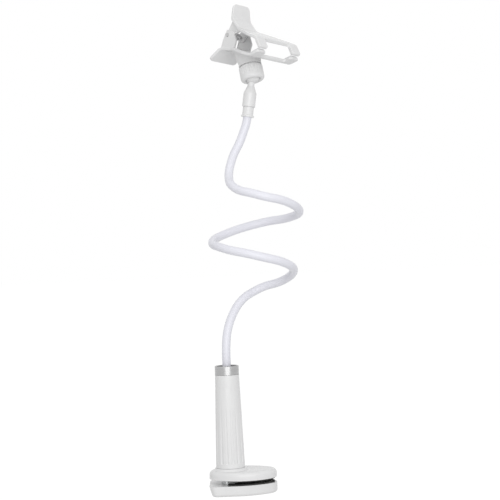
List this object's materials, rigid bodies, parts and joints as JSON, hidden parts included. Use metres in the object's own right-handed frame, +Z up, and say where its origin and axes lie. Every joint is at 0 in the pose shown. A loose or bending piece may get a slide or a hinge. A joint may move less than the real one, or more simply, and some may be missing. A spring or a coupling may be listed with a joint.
{
  "type": "desk phone holder",
  "caption": "Clamp-on desk phone holder: desk-edge jaws under a fluted grip, a coiled gooseneck arm and a sprung phone clip on a ball joint.",
  "frame": {"origin": "on the grip's axis, at the underside of the upper jaw's pad, where the desk top lies", "axes": "+Z up along the grip's axis, +X towards the nose of the clamp jaws, +Y away from the viewer"},
  "size_m": [0.1074, 0.0961, 0.4902],
  "materials": {
    "white_shell": "satin gloss",
    "white_sleeve": "satin",
    "white_rubber": "matte",
    "black_rubber": "matte",
    "grey_column": "satin",
    "brushed_ring": "brushed",
    "steel": "plain",
    "spring_steel": "drawn wire",
    "black_plastic": "satin",
    "brass": "plain"
  },
  "bodies": {
    "base": {"upper_jaw": "white_shell", "upper_jaw_pad": "black_rubber", "grip_snap_ring": "steel"},
    "grip": {"grip": "white_shell", "swivel_cap": "white_shell", "lead_screw": "steel"},
    "lower_clamp": {"lower_jaw": "white_shell", "lower_jaw_pad": "black_rubber", "clamp_column": "grey_column", "lead_nut": "brass", "column_screws": "steel"},
    "arm": {"lower_ferrule": "black_plastic", "swivel_spring_ring": "steel", "arm_ring": "brushed_ring", "gooseneck": "white_sleeve", "upper_ferrule": "white_shell"},
    "stem": {"ball_stem": "white_shell"},
    "collar": {"collar_nut": "white_shell"},
    "clip": {"clip_base": "white_shell", "pivot_pin": "steel", "torsion_spring": "spring_steel", "lower_claw_pads": "white_rubber"},
    "lever": {"clip_lever": "white_shell", "upper_claw_pads": "white_rubber"}
  },
  "joints": [
    {"name": "grip_turn", "type": "hinge", "parent": "base", "child": "grip", "pos_m": [0, 0, 0.05], "axis": [0, 0, 1], "range_deg": [-180, 5040]},
    {"name": "jaw_slide", "type": "slide", "parent": "base", "child": "lower_clamp", "axis": [0, 0, -1], "range_m": [-0.002, 0.056]},
    {"name": "arm_swivel", "type": "hinge", "parent": "grip", "child": "arm", "pos_m": [0, 0, 0.1], "axis": [0, 0, 1], "continuous": true},
    {"name": "head_swivel", "type": "hinge", "parent": "arm", "child": "stem", "pos_m": [0.03713, 0, 0.40251], "axis": [0.153, 0, 0.9882], "continuous": true},
    {"name": "head_tilt", "type": "hinge", "parent": "stem", "child": "collar", "pos_m": [0.03713, 0, 0.40251], "axis": [-0.6469, -0.756, 0.1001], "range_deg": [-56, 11]},
    {"name": "clip_spin", "type": "hinge", "parent": "collar", "child": "clip", "pos_m": [0.03713, 0, 0.40251], "axis": [-0.1415, 0.248, 0.9584], "continuous": true},
    {"name": "clip_open", "type": "hinge", "parent": "clip", "child": "lever", "pos_m": [0.02234, 0.01926, 0.44468], "axis": [-0.6959, -0.7135, 0.0819], "range_deg": [0, 65], "stiffness_Nm_per_rad": 0.35, "springref_deg": -34.38, "deforming": ["torsion_spring"]}
  ],
  "couplings": [
    {"joint": "jaw_slide", "follows": "grip_turn", "m_per_rad": 0.00063662}
  ]
}
